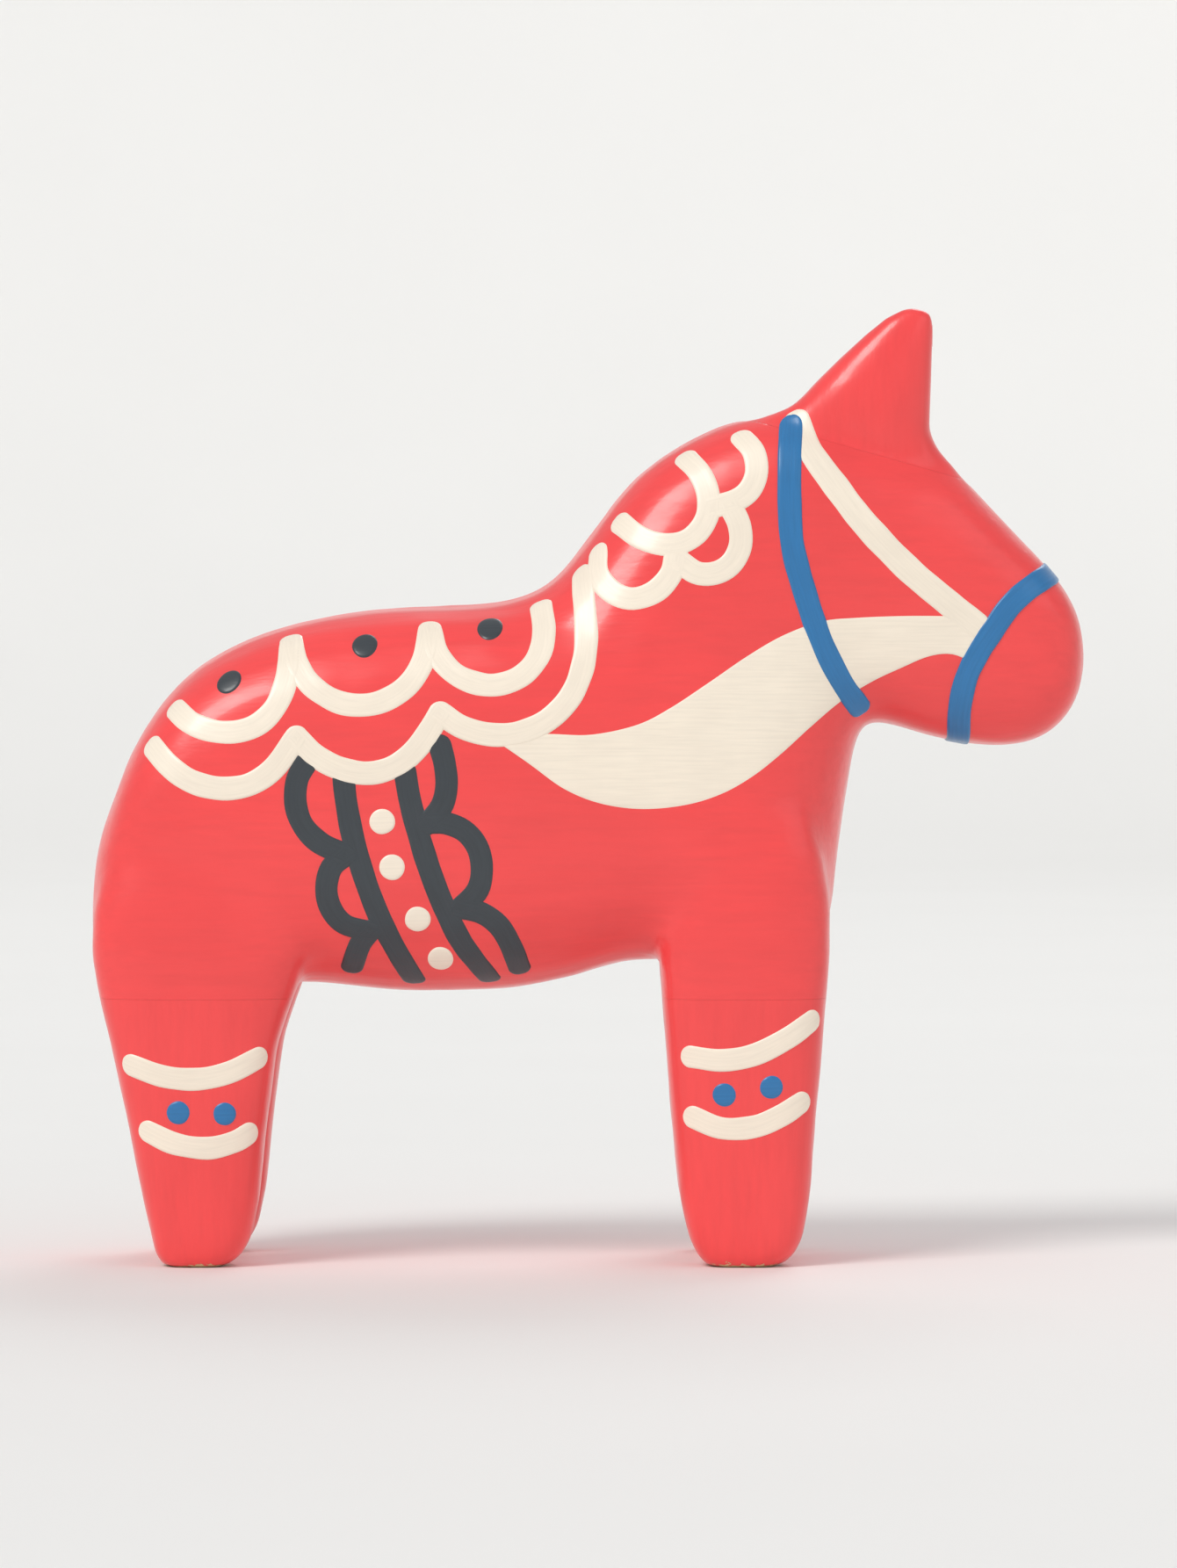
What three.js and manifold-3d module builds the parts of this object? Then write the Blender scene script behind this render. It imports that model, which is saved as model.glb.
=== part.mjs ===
// A large painted dala horse, glued up from a centre board, two side boards, four leg blocks and two ears.
// Millimetres, +Z up, +X towards the muzzle, +Y towards the horse's left side.
// The origin is on the ground, under the middle of the horse.
import * as THREE from "three";
import { mergeVertices } from "three/addons/utils/BufferGeometryUtils.js";
import Module from "manifold-3d";

const wasm = await Module();
wasm.setup();

// ---- Driving dimensions ----

const HEIGHT = 400; // sole to ear tip: the outlines below are drawn at this size
const CENTRE_BOARD_THICKNESS = 40;
const LEG_JOINT_Z = 112; // the legs are glued on just under the belly
const GLUE_LINE = 0.3; // gap between two glued faces
const BODY_FULLNESS = 3.2; // exponent of the body's cross-section: 2 is an ellipse, more is boxier
const LEG_FULLNESS = 3.2;
const EAR_FULLNESS = 2.4;

const RINGS_PER_SLICE = 2;
const LOFT_SIDES = 24;
const DOWEL_SIDES = 12;

const LEG_DOWEL = { diameter: 12, length: 56 };
const BOARD_DOWEL = { diameter: 14, length: 84 };
const EAR_PEG = { diameter: 8, length: 28 };
const EAR_PEG_PLACE = { x: 2, y: 17 }; // on the seat, from its middle
const HOLE_END_ROOM = 2; // air left beyond each end of a dowel

const HALF_CENTRE = CENTRE_BOARD_THICKNESS / 2;
const OUTSIDE = 3 * HEIGHT; // larger than the horse: the reach of a cutting box

const WOOD_PAINTED = new THREE.MeshStandardMaterial({ color: 0xfd5858, roughness: 0.32, metalness: 0 });
const WOOD_BARE = new THREE.MeshStandardMaterial({ color: 0xd9b27c, roughness: 0.7, metalness: 0 });

// ---- The horse seen from its side, as [x, z] ----

// The trunk, neck and head in slices from rump to muzzle. Each slice runs from the back line to the underside,
// with half the wood's thickness midway. Round the throat the slices fan out.
const BODY_SLICES = [
  { back: [-207, 164], under: [-208.3, 150], half: 12 },
  { back: [-205.6, 173], under: [-208, 139], half: 29 },
  { back: [-202.8, 184], under: [-207, 130.5], half: 40 },
  { back: [-197.6, 198.5], under: [-201.5, 123.5], half: 49 },
  { back: [-191, 215.2], under: [-191, 119.2], half: 54.5 },
  { back: [-180, 233.6], under: [-176, 117.8], half: 58 },
  { back: [-164, 249.6], under: [-159, 117], half: 60 },
  { back: [-144, 260.8], under: [-138, 116.6], half: 61.5 },
  { back: [-120, 268.6], under: [-112, 116.4], half: 62 },
  { back: [-98, 272.6], under: [-86, 113.6], half: 62 },
  { back: [-80, 274.4], under: [-58, 112.9], half: 62 },
  { back: [-66, 275], under: [-30, 114.4], half: 62 },
  { back: [-56, 275.3], under: [-6, 119.2], half: 62 },
  { back: [-48, 275.7], under: [16, 125.6], half: 62 },
  { back: [-41, 276.4], under: [44, 126], half: 61.5 },
  { back: [-35, 277.3], under: [72, 124.6], half: 61 },
  { back: [-29, 278.9], under: [93, 128], half: 60 },
  { back: [-23.4, 280.8], under: [101.4, 143], half: 58.5 },
  { back: [-16.8, 284.4], under: [104.2, 164], half: 56.5 },
  { back: [-8.4, 293], under: [107, 185], half: 54 },
  { back: [4.3, 310.2], under: [109.5, 202], half: 50.5 },
  { back: [19.4, 329], under: [111.6, 213.5], half: 47.5 },
  { back: [41.5, 344.3], under: [114, 221.4], half: 45 },
  { back: [68, 354.7], under: [116.5, 225], half: 43.5 },
  { back: [92, 355], under: [120.5, 226.2], half: 42.5 },
  { back: [112, 348.5], under: [127, 225], half: 41.5 },
  { back: [132, 343], under: [136, 222.4], half: 40 },
  { back: [150, 336.4], under: [148, 219], half: 38 },
  { back: [163, 322.8], under: [161, 216.8], half: 36 },
  { back: [176, 309.4], under: [174, 216], half: 34 },
  { back: [188, 297], under: [186, 218], half: 31.5 },
  { back: [198, 285.2], under: [196, 223.2], half: 28 },
  { back: [205, 273.4], under: [203.2, 232], half: 22.5 },
  { back: [207.5, 263.5], under: [206.8, 241], half: 15 },
  { back: [208.3, 257], under: [208.3, 249.5], half: 5 },
];

// Each leg's section at a height: its back and front edge in x, and its inner and outer face in y.
const FRONT_LEG = [
  { z: 0, back: 52, front: 77, inner: 27.5, outer: 50.5 },
  { z: 1.5, back: 48.2, front: 81.6, inner: 24.5, outer: 53.2 },
  { z: 5, back: 45.2, front: 85.9, inner: 22.8, outer: 54.8 },
  { z: 12, back: 41.5, front: 89.9, inner: 21.8, outer: 55.8 },
  { z: 28, back: 38, front: 92.5, inner: 21.1, outer: 56.6 },
  { z: 60, back: 34.6, front: 95, inner: 20.4, outer: 58 },
  { z: 112, back: 30.7, front: 99.4, inner: 20.15, outer: 60.2 },
  { z: 130, back: 29.4, front: 100.9, inner: 20.15, outer: 60.6 },
  { z: 150, back: 30, front: 101, inner: 20.15, outer: 60 },
  { z: 170, back: 33, front: 98.5, inner: 20.15, outer: 58 },
  { z: 190, back: 40, front: 93, inner: 22, outer: 54.6 },
  { z: 206, back: 50, front: 85, inner: 26, outer: 49.6 },
  { z: 214, back: 60, front: 76, inner: 31, outer: 44 },
];

const REAR_LEG = [
  { z: 0, back: -174.5, front: -153, inner: 27.5, outer: 50.5 },
  { z: 1.5, back: -178, front: -149, inner: 24.5, outer: 53.2 },
  { z: 5, back: -180.6, front: -144.5, inner: 22.8, outer: 54.8 },
  { z: 12, back: -182.5, front: -140.5, inner: 21.8, outer: 55.8 },
  { z: 28, back: -186.1, front: -137.1, inner: 21.1, outer: 56.6 },
  { z: 60, back: -192.4, front: -133.8, inner: 20.4, outer: 58 },
  { z: 92, back: -199.3, front: -129.4, inner: 20.15, outer: 59.2 },
  { z: 112, back: -204.2, front: -122.6, inner: 20.15, outer: 60 },
  { z: 130, back: -207.2, front: -116.5, inner: 20.15, outer: 60.6 },
  { z: 148, back: -206.6, front: -114, inner: 20.15, outer: 60.2 },
  { z: 166, back: -202, front: -118, inner: 20.15, outer: 58.2 },
  { z: 182, back: -192, front: -128, inner: 22, outer: 54.6 },
  { z: 194, back: -179, front: -142, inner: 28, outer: 49 },
];

// The ears stand on a flat seat planed on the head, which slopes down towards the nose.
const EAR_SEAT = { x: 113.8, z: 352.5, tilt: Math.atan2(15, 53.6), depth: 12 };

// One ear's section at a height above its seat line, measured square to it.
const EAR = [
  { z: -12, back: -44.5, front: 49.4, inner: 0.6, outer: 28.5 },
  { z: -7, back: -36.8, front: 42, inner: 0.9, outer: 30 },
  { z: -3, back: -30.6, front: 35, inner: 1.6, outer: 30.6 },
  { z: 4, back: -25.6, front: 29.2, inner: 2.6, outer: 30.8 },
  { z: 12, back: -21.4, front: 27.1, inner: 4, outer: 30.4 },
  { z: 24, back: -14.5, front: 24.2, inner: 7, outer: 29 },
  { z: 36, back: -7, front: 21.2, inner: 10.6, outer: 27.2 },
  { z: 44, back: -1.4, front: 19.2, inner: 13.2, outer: 25.6 },
  { z: 49.5, back: 4.6, front: 17.4, inner: 15.8, outer: 24 },
  { z: 51.3, back: 8.2, front: 15, inner: 18, outer: 22.2 },
];

// Where the dowels sit: two up into each leg, and four through the boards.
const LEG_DOWEL_X = { front: [48, 80], rear: [-180, -146] };
const LEG_DOWEL_Y = 40;
const BOARD_DOWELS = [
  { name: "rump_board_dowel", x: -150, z: 205 },
  { name: "back_board_dowel", x: -60, z: 232 },
  { name: "belly_board_dowel", x: -40, z: 152 },
  { name: "shoulder_board_dowel", x: 52, z: 214 },
];

// ---- From geometry to solids and back ----

function toSolid(geometry) {
  const bare = geometry.clone();
  bare.deleteAttribute("normal");
  bare.deleteAttribute("uv");
  const merged = mergeVertices(bare, 1e-4);
  return new wasm.Manifold(
    new wasm.Mesh({
      numProp: 3,
      vertProperties: new Float32Array(merged.attributes.position.array),
      triVerts: new Uint32Array(merged.index.array),
    }),
  );
}

function toGeometry(solid) {
  const mesh = solid.getMesh();
  const geometry = new THREE.BufferGeometry();
  geometry.setAttribute("position", new THREE.BufferAttribute(mesh.vertProperties, 3));
  geometry.setIndex(new THREE.BufferAttribute(mesh.triVerts, 1));
  geometry.computeVertexNormals();
  return geometry;
}

function boxSolid(low, high) {
  const size = high.map((value, axis) => value - low[axis]);
  const geometry = new THREE.BoxGeometry(...size);
  geometry.translate(...high.map((value, axis) => (value + low[axis]) / 2));
  return toSolid(geometry);
}

// A closed surface through rings of points with the same number of points each. Seen against the direction of
// travel, a ring runs counter-clockwise; flat() lays an end ring out in its plane in that same sense.
function skinRings(rings, flat) {
  const count = rings[0].length;
  const index = [];
  for (let r = 0; r < rings.length - 1; r++) {
    for (let i = 0; i < count; i++) {
      const here = r * count + i;
      const next = r * count + ((i + 1) % count);
      index.push(here, next, next + count, here, next + count, here + count);
    }
  }
  const last = (rings.length - 1) * count;
  for (const [a, b, c] of THREE.ShapeUtils.triangulateShape(rings[0].map(flat), [])) index.push(c, b, a);
  for (const [a, b, c] of THREE.ShapeUtils.triangulateShape(rings.at(-1).map(flat), [])) {
    index.push(last + a, last + b, last + c);
  }
  const geometry = new THREE.BufferGeometry();
  const corners = rings.flat().flatMap((p) => p.toArray());
  geometry.setAttribute("position", new THREE.Float32BufferAttribute(corners, 3));
  geometry.setIndex(index);
  return geometry;
}

// ---- The carved shapes ----

// A superellipse in LOFT_SIDES steps, counter-clockwise, reaching 1 each way. More fullness makes it boxier.
function superellipse(fullness) {
  const bulge = (v) => Math.sign(v) * Math.abs(v) ** (2 / fullness);
  return Array.from({ length: LOFT_SIDES }, (_, i) => {
    const angle = (i / LOFT_SIDES) * 2 * Math.PI;
    return { along: bulge(Math.cos(angle)), across: bulge(Math.sin(angle)) };
  });
}

// The body: superellipse slices skinned from rump to muzzle, with more of them along smooth curves in between.
function carvedBody() {
  const smooth = (points) => new THREE.CatmullRomCurve3(points, false, "centripetal");
  const backLine = smooth(BODY_SLICES.map(({ back: [x, z], half }) => new THREE.Vector3(x, half, z)));
  const underside = smooth(BODY_SLICES.map(({ under: [x, z] }) => new THREE.Vector3(x, 0, z)));
  const count = (BODY_SLICES.length - 1) * RINGS_PER_SLICE;
  const rings = [];
  for (let r = 0; r <= count; r++) {
    const top = backLine.getPoint(r / count);
    const bottom = underside.getPoint(r / count);
    rings.push(
      superellipse(BODY_FULLNESS).map(({ along, across }) => {
        const share = (1 + along) / 2;
        return new THREE.Vector3(
          THREE.MathUtils.lerp(bottom.x, top.x, share),
          -top.y * across,
          THREE.MathUtils.lerp(bottom.z, top.z, share),
        );
      }),
    );
  }
  return skinRings(rings, (p) => new THREE.Vector2(p.y, p.z));
}

// A leg or an ear: superellipse sections stacked up z.
function stack(sections, fullness) {
  const rings = sections.map(({ z, back, front, inner, outer }) =>
    superellipse(fullness).map(
      ({ along, across }) =>
        new THREE.Vector3(
          (front + back) / 2 + ((front - back) / 2) * along,
          (outer + inner) / 2 + ((outer - inner) / 2) * across,
          z,
        ),
    ),
  );
  return skinRings(rings, (p) => new THREE.Vector2(p.x, p.y));
}

// The same piece on the horse's right side.
const mirrored = (solid) => solid.mirror([0, 1, 0]);

// ---- Frames for the ears and the dowels ----

function seatMatrix() {
  const turn = new THREE.Matrix4().makeRotationY(EAR_SEAT.tilt);
  return turn.setPosition(EAR_SEAT.x, 0, EAR_SEAT.z);
}

// A dowel standing on z in its own frame.
const dowelGeometry = ({ diameter, length }) =>
  new THREE.CylinderGeometry(diameter / 2, diameter / 2, length, DOWEL_SIDES).rotateX(Math.PI / 2);

// The hole that a dowel fills, placed by the dowel's matrix.
function holeSolid({ diameter, length }, matrix) {
  const hole = { diameter: diameter + 2 * GLUE_LINE, length: length + 2 * HOLE_END_ROOM };
  return toSolid(dowelGeometry(hole).applyMatrix4(matrix));
}

function dowels() {
  const list = [];
  for (const [end, places] of Object.entries(LEG_DOWEL_X)) {
    for (const [side, sign] of [["left", 1], ["right", -1]]) {
      places.forEach((x, i) => {
        const matrix = new THREE.Matrix4().makeTranslation(x, sign * LEG_DOWEL_Y, LEG_JOINT_Z);
        list.push({ name: `${end}_${side}_leg_dowel_${i + 1}`, size: LEG_DOWEL, matrix });
      });
    }
  }
  for (const { name, x, z } of BOARD_DOWELS) {
    const matrix = new THREE.Matrix4().makeRotationX(Math.PI / 2).setPosition(x, 0, z);
    list.push({ name, size: BOARD_DOWEL, matrix });
  }
  for (const [side, sign] of [["left", 1], ["right", -1]]) {
    const { x, y } = EAR_PEG_PLACE;
    const matrix = seatMatrix().multiply(new THREE.Matrix4().makeTranslation(x, sign * y, -EAR_SEAT.depth));
    list.push({ name: `${side}_ear_peg`, size: EAR_PEG, matrix });
  }
  return list;
}

// ---- The assembly ----

const horse = new THREE.Group();

function addNode(name, geometry, material) {
  const mesh = new THREE.Mesh(geometry, material);
  mesh.name = name;
  horse.add(mesh);
  return mesh;
}

const pegs = dowels();
const holes = pegs.map(({ size, matrix }) => holeSolid(size, matrix)).reduce((all, hole) => all.add(hole));
const drilled = (solid) => toGeometry(solid.subtract(holes));

// The head is planed flat under the ears: all that stands over the seat between poll and forehead goes.
const planed = toSolid(
  new THREE.BoxGeometry(120, OUTSIDE, 60).translate(0, 0, 60 / 2 - EAR_SEAT.depth).applyMatrix4(seatMatrix()),
);
const trunk = toSolid(carvedBody()).subtract(planed);
const frontLeg = toSolid(stack(FRONT_LEG, LEG_FULLNESS));
const rearLeg = toSolid(stack(REAR_LEG, LEG_FULLNESS));

const half = GLUE_LINE / 2;
const centreSlab = boxSolid([-OUTSIDE, -HALF_CENTRE + half, -OUTSIDE], [OUTSIDE, HALF_CENTRE - half, OUTSIDE]);
const sideSlab = boxSolid([-OUTSIDE, HALF_CENTRE + half, LEG_JOINT_Z + half], [OUTSIDE, OUTSIDE, OUTSIDE]);
const legSlab = boxSolid([-OUTSIDE, HALF_CENTRE + half, -OUTSIDE], [OUTSIDE, OUTSIDE, LEG_JOINT_Z - half]);

addNode("centre_board", drilled(trunk.intersect(centreSlab)), WOOD_PAINTED);

const leftSide = trunk.add(frontLeg).add(rearLeg).intersect(sideSlab);
addNode("left_side_board", drilled(leftSide), WOOD_PAINTED);
addNode("right_side_board", drilled(mirrored(leftSide)), WOOD_PAINTED);

for (const [end, leg] of [["front", frontLeg], ["rear", rearLeg]]) {
  const cut = leg.intersect(legSlab);
  addNode(`${end}_left_leg`, drilled(cut), WOOD_PAINTED);
  addNode(`${end}_right_leg`, drilled(mirrored(cut)), WOOD_PAINTED);
}

const earBlank = toSolid(stack(EAR, EAR_FULLNESS).translate(0, 0, GLUE_LINE).applyMatrix4(seatMatrix()));
addNode("left_ear", drilled(earBlank), WOOD_PAINTED);
addNode("right_ear", drilled(mirrored(earBlank)), WOOD_PAINTED);

for (const { name, size, matrix } of pegs) {
  const peg = addNode(name, dowelGeometry(size), WOOD_BARE);
  peg.applyMatrix4(matrix);
}

export default horse;
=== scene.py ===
import math

import bmesh
import bpy
import numpy as np
from mathutils import Matrix, Vector, noise
from mathutils.bvhtree import BVHTree


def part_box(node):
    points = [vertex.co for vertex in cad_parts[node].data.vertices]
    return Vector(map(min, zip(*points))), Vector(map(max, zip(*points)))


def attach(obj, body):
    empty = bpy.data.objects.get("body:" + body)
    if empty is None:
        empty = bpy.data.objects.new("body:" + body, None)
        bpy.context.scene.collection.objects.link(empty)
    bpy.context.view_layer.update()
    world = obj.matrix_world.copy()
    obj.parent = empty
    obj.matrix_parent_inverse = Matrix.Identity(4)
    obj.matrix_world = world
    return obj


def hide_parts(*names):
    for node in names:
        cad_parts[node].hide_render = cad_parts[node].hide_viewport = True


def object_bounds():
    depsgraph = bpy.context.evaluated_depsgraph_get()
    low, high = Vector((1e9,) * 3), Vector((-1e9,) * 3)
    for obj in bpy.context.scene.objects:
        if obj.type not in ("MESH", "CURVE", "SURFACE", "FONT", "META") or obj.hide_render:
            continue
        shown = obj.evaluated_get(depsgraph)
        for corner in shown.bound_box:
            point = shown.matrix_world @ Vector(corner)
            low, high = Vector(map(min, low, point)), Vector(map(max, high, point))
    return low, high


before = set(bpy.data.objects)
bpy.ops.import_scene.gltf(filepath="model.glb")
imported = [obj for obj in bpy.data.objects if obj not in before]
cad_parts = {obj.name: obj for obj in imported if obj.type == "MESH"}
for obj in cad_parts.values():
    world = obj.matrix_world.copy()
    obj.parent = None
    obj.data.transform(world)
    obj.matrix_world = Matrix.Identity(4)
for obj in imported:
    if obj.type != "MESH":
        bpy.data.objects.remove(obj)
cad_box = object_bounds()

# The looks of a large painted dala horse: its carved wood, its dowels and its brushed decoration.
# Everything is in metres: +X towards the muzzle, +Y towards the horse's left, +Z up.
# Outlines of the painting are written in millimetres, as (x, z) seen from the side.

MM = 0.001
RIGHT, LEFT = -1, 1
SIDES = {"right": RIGHT, "left": LEFT}

# ---- Driving sizes ----

SKIN_VOXEL = 1.6 * MM
SEAM = 0.06 * MM  # what shows of a glue line under the paint
EAR_SEAM = 0.04 * MM  # the same round the ears, where the glue line runs nearly along the surface
CAD_GAP = 0.3 * MM  # the gap that the CAD model keeps between glued faces
BOARD_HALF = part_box("centre_board")[1].y + CAD_GAP / 2  # the side boards start here
LEG_JOINT_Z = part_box("front_left_leg")[1].z + CAD_GAP / 2
EAR_TILT = math.atan2(15, 53.6)  # the ear seat slopes down towards the nose
EAR_SEAT = Vector((113.8, 0, 352.5)) * MM
EAR_SEAT_DEPTH = 12 * MM
SEAT_NORMAL = np.array([math.sin(EAR_TILT), 0, math.cos(EAR_TILT)])
EAR_ROOM = Vector((120, 80, 150)) * MM  # past the ears in the seat's own frame

EAR_ROOM_CELLS = 90  # along each side of the gridded cut under the ears
HOLE_SPARE = 2 * MM  # how far a hole goes past each end of its dowel
FAR = 1.0  # past the horse in any direction

CARVING_PASSES = 26  # how often the whole skin is smoothed
HOLLOW_PASSES = 140  # how often the hollows at the tops of the legs are filled
LEG_SET_IN = 0.7 * MM  # how far the legs' inner faces keep off the glue planes
SET_IN_REACH = 2.5 * MM  # how near to a glue plane that starts
WAVE_HEIGHT = 0.28 * MM  # how uneven the knife leaves the wood

# From where to where one treatment of the skin passes over into another.
EAR_FADE = (-4 * MM, 10 * MM)  # square to the ear seat
HOOF_FADE = (1 * MM, 16 * MM)  # up from the floor
REAR_LEG_FADE = (-105 * MM, -85 * MM)  # along x, from the rear legs to the belly
FRONT_LEG_FADE = (5 * MM, 20 * MM)  # along x, from the belly to the front legs
LEG_TOP_FADE = (126 * MM, 142 * MM)  # up from the legs to their tops
FLANK_FADE = (198 * MM, 214 * MM)  # up from the tops of the legs to the back
INNER_LEG_FADE = (LEG_JOINT_Z + 20 * MM, LEG_JOINT_Z + 40 * MM)  # up from the legs to the belly

PIN_SIDES = 96
PIN_FLUTES = 16
HOLE_SIDES = 40

PAINT_DEPTH = 0.35 * MM  # how far a stroke's closed back lies inside the wood
PAINT_RUN_IN = 0.6 * MM  # how far enamel runs into a glue line
STROKE_STEP = 1.7 * MM
FRAME_SHAPE = 1785 / 1340  # the picture's height over its width

WOOD_NODES = [n for n in sorted(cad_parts) if "dowel" not in n and "peg" not in n]
DOWEL_NODES = [n for n in sorted(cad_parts) if n not in WOOD_NODES]


# ---- Small mesh tools ----


def new_object(name, mesh):
    thing = bpy.data.objects.new(name, mesh)
    bpy.context.scene.collection.objects.link(thing)
    return thing


def mesh_from(name, points, faces):
    mesh = bpy.data.meshes.new(name)
    mesh.from_pydata([tuple(p) for p in points], [], faces)
    mesh.validate()
    mesh.update()
    return mesh


def coordinates(mesh):
    flat = np.empty(len(mesh.vertices) * 3)
    mesh.vertices.foreach_get("co", flat)
    return flat.reshape(-1, 3)


def edge_ends(mesh):
    flat = np.empty(len(mesh.edges) * 2, int)
    mesh.edges.foreach_get("vertices", flat)
    return flat.reshape(-1, 2)


def set_coordinates(mesh, points):
    mesh.vertices.foreach_set("co", points.ravel())
    mesh.update()


def evaluated_copy(thing):
    """The object's mesh with its modifiers applied."""
    depsgraph = bpy.context.evaluated_depsgraph_get()
    return bpy.data.meshes.new_from_object(thing.evaluated_get(depsgraph))


def smooth_step(value, low, high):
    share = np.clip((value - low) / (high - low), 0, 1)
    return share * share * (3 - 2 * share)


# ---- The carved wood ----


def seat_matrix():
    """The ear seat's own frame: z stands square to the planed flat."""
    return Matrix.Translation(EAR_SEAT) @ Matrix.Rotation(EAR_TILT, 4, "Y")


def height_over_seat(points):
    """How far each point is above the line that the ears rise from."""
    return (points - np.array(EAR_SEAT)) @ SEAT_NORMAL


def joined_wood():
    """All the boards, legs and ears in one mesh, with their glued faces pushed together."""
    bm = bmesh.new()
    for name in WOOD_NODES:
        bm.from_mesh(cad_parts[name].data)
    bmesh.ops.remove_doubles(bm, verts=bm.verts, dist=1e-6)
    mesh = bpy.data.meshes.new("joined_wood")
    bm.to_mesh(mesh)
    bm.free()
    points = coordinates(mesh)
    near = 0.02 * MM
    for plane, axis in ((BOARD_HALF, 1), (-BOARD_HALF, 1), (LEG_JOINT_Z, 2)):
        away = points[:, axis] - plane
        glued = np.abs(np.abs(away) - CAD_GAP / 2) < near
        points[glued, axis] -= 2 * away[glued]
    above = height_over_seat(points) + EAR_SEAT_DEPTH
    ear_foot = np.abs(above - CAD_GAP) < near
    points[ear_foot] -= 2 * CAD_GAP * SEAT_NORMAL
    set_coordinates(mesh, points)
    return mesh


def normals_of(mesh):
    flat = np.empty(len(mesh.vertices) * 3)
    mesh.vertices.foreach_get("normal", flat)
    return flat.reshape(-1, 3)


def pulls_of(mesh):
    """A function giving how far each point is from the middle of its neighbours."""
    a, b = edge_ends(mesh).T
    size = len(mesh.vertices)
    count = np.bincount(a, minlength=size) + np.bincount(b, minlength=size)

    def pulls(points):
        total = np.empty_like(points)
        for axis in range(3):
            total[:, axis] = np.bincount(a, points[b, axis], size)
            total[:, axis] += np.bincount(b, points[a, axis], size)
        return total / count[:, None] - points

    return pulls


def relaxed(mesh, passes, strength):
    """Each point moves towards the middle of its neighbours, pass by pass, by its own strength."""
    points = coordinates(mesh)
    pulls = pulls_of(mesh)
    for _ in range(passes):
        points += strength[:, None] * pulls(points)
    return points


def hollows_filled(mesh, passes, strength):
    """As relaxed, but points only move outwards, so hollows round out and nothing shrinks."""
    points = coordinates(mesh)
    pulls = pulls_of(mesh)
    normals = normals_of(mesh)
    for _ in range(passes):
        outwards = np.maximum(0, (pulls(points) * normals).sum(axis=1))
        points += normals * (strength * outwards)[:, None]
    return points


def knife_wave(point):
    """Broad waves with finer ones over them."""
    return noise.noise(point * 34) + 0.5 * noise.noise(point * 85)


def carved_skin():
    """The whole horse as one smooth skin, before it is parted along its glue lines."""
    rough = new_object("rough_skin", joined_wood())
    remesh = rough.modifiers.new("remesh", "REMESH")
    remesh.mode = "VOXEL"
    remesh.voxel_size = SKIN_VOXEL
    mesh = evaluated_copy(rough)
    bpy.data.objects.remove(rough)
    points = coordinates(mesh)
    # The knife leaves the ear tips and the hooves crisper than the body.
    body = 1 - smooth_step(height_over_seat(points), *EAR_FADE)
    above_hoof = smooth_step(points[:, 2], *HOOF_FADE)
    strength = 0.5 * (0.12 + 0.88 * body) * (0.1 + 0.9 * above_hoof)
    points = relaxed(mesh, CARVING_PASSES, strength)
    # The gouge leaves the tops of the legs flowing into the body.
    set_coordinates(mesh, points)
    rear_leg = 1 - smooth_step(points[:, 0], *REAR_LEG_FADE)
    front_leg = smooth_step(points[:, 0], *FRONT_LEG_FADE)
    over_leg = smooth_step(points[:, 2], *LEG_TOP_FADE)
    under_back = 1 - smooth_step(points[:, 2], *FLANK_FADE)
    leg_tops = np.maximum(rear_leg, front_leg) * (over_leg * under_back)
    points = hollows_filled(mesh, HOLLOW_PASSES, 0.5 * leg_tops)
    # The legs' inner faces keep clear of the glue planes, so that each meets the skin in one line.
    off_plane = (np.abs(points[:, 1]) - BOARD_HALF) / SET_IN_REACH
    low_down = 1 - smooth_step(points[:, 2], *INNER_LEG_FADE)
    points[:, 1] += np.sign(points[:, 1]) * LEG_SET_IN * np.exp(-(off_plane**2)) * low_down
    # A hand-held knife never leaves a surface quite even.
    waves = np.array([knife_wave(Vector(p)) for p in points])
    set_coordinates(mesh, points)
    depth = WAVE_HEIGHT * body * above_hoof
    points += normals_of(mesh) * (waves * depth)[:, None]
    points[:, 2] = np.maximum(points[:, 2], 0)
    set_coordinates(mesh, points)
    return mesh


def box_cutter(low, high, material, matrix=None, floor_cells=1):
    """A box to cut with. Its lower face may be a grid, so that what it cuts is a grid too."""
    bm = bmesh.new()
    bmesh.ops.create_cube(bm, size=1)
    low, high = Vector(low), Vector(high)
    bm.transform(Matrix.Translation((low + high) / 2) @ Matrix.Diagonal((*(high - low), 1)))
    if floor_cells > 1:
        floor = min(bm.faces, key=lambda face: face.calc_center_median().z)
        edges = floor.edges[:]
        bmesh.ops.subdivide_edges(bm, edges=edges, cuts=floor_cells - 1, use_grid_fill=True)
    if matrix is not None:
        bm.transform(matrix)
    mesh = bpy.data.meshes.new("cutter")
    bm.to_mesh(mesh)
    bm.free()
    mesh.materials.append(material)
    return new_object("cutter", mesh)


def boolean(mesh, steps):
    """The mesh after each (operation, cutter) in turn; the faces a cutter makes get its material."""
    thing = new_object("work", mesh)
    for operation, cutter in steps:
        modifier = thing.modifiers.new(operation, "BOOLEAN")
        modifier.solver = "MANIFOLD"
        modifier.material_mode = "TRANSFER"
        modifier.operation = operation
        modifier.object = cutter
    result = evaluated_copy(thing)
    bpy.data.objects.remove(thing)
    return result


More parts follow.
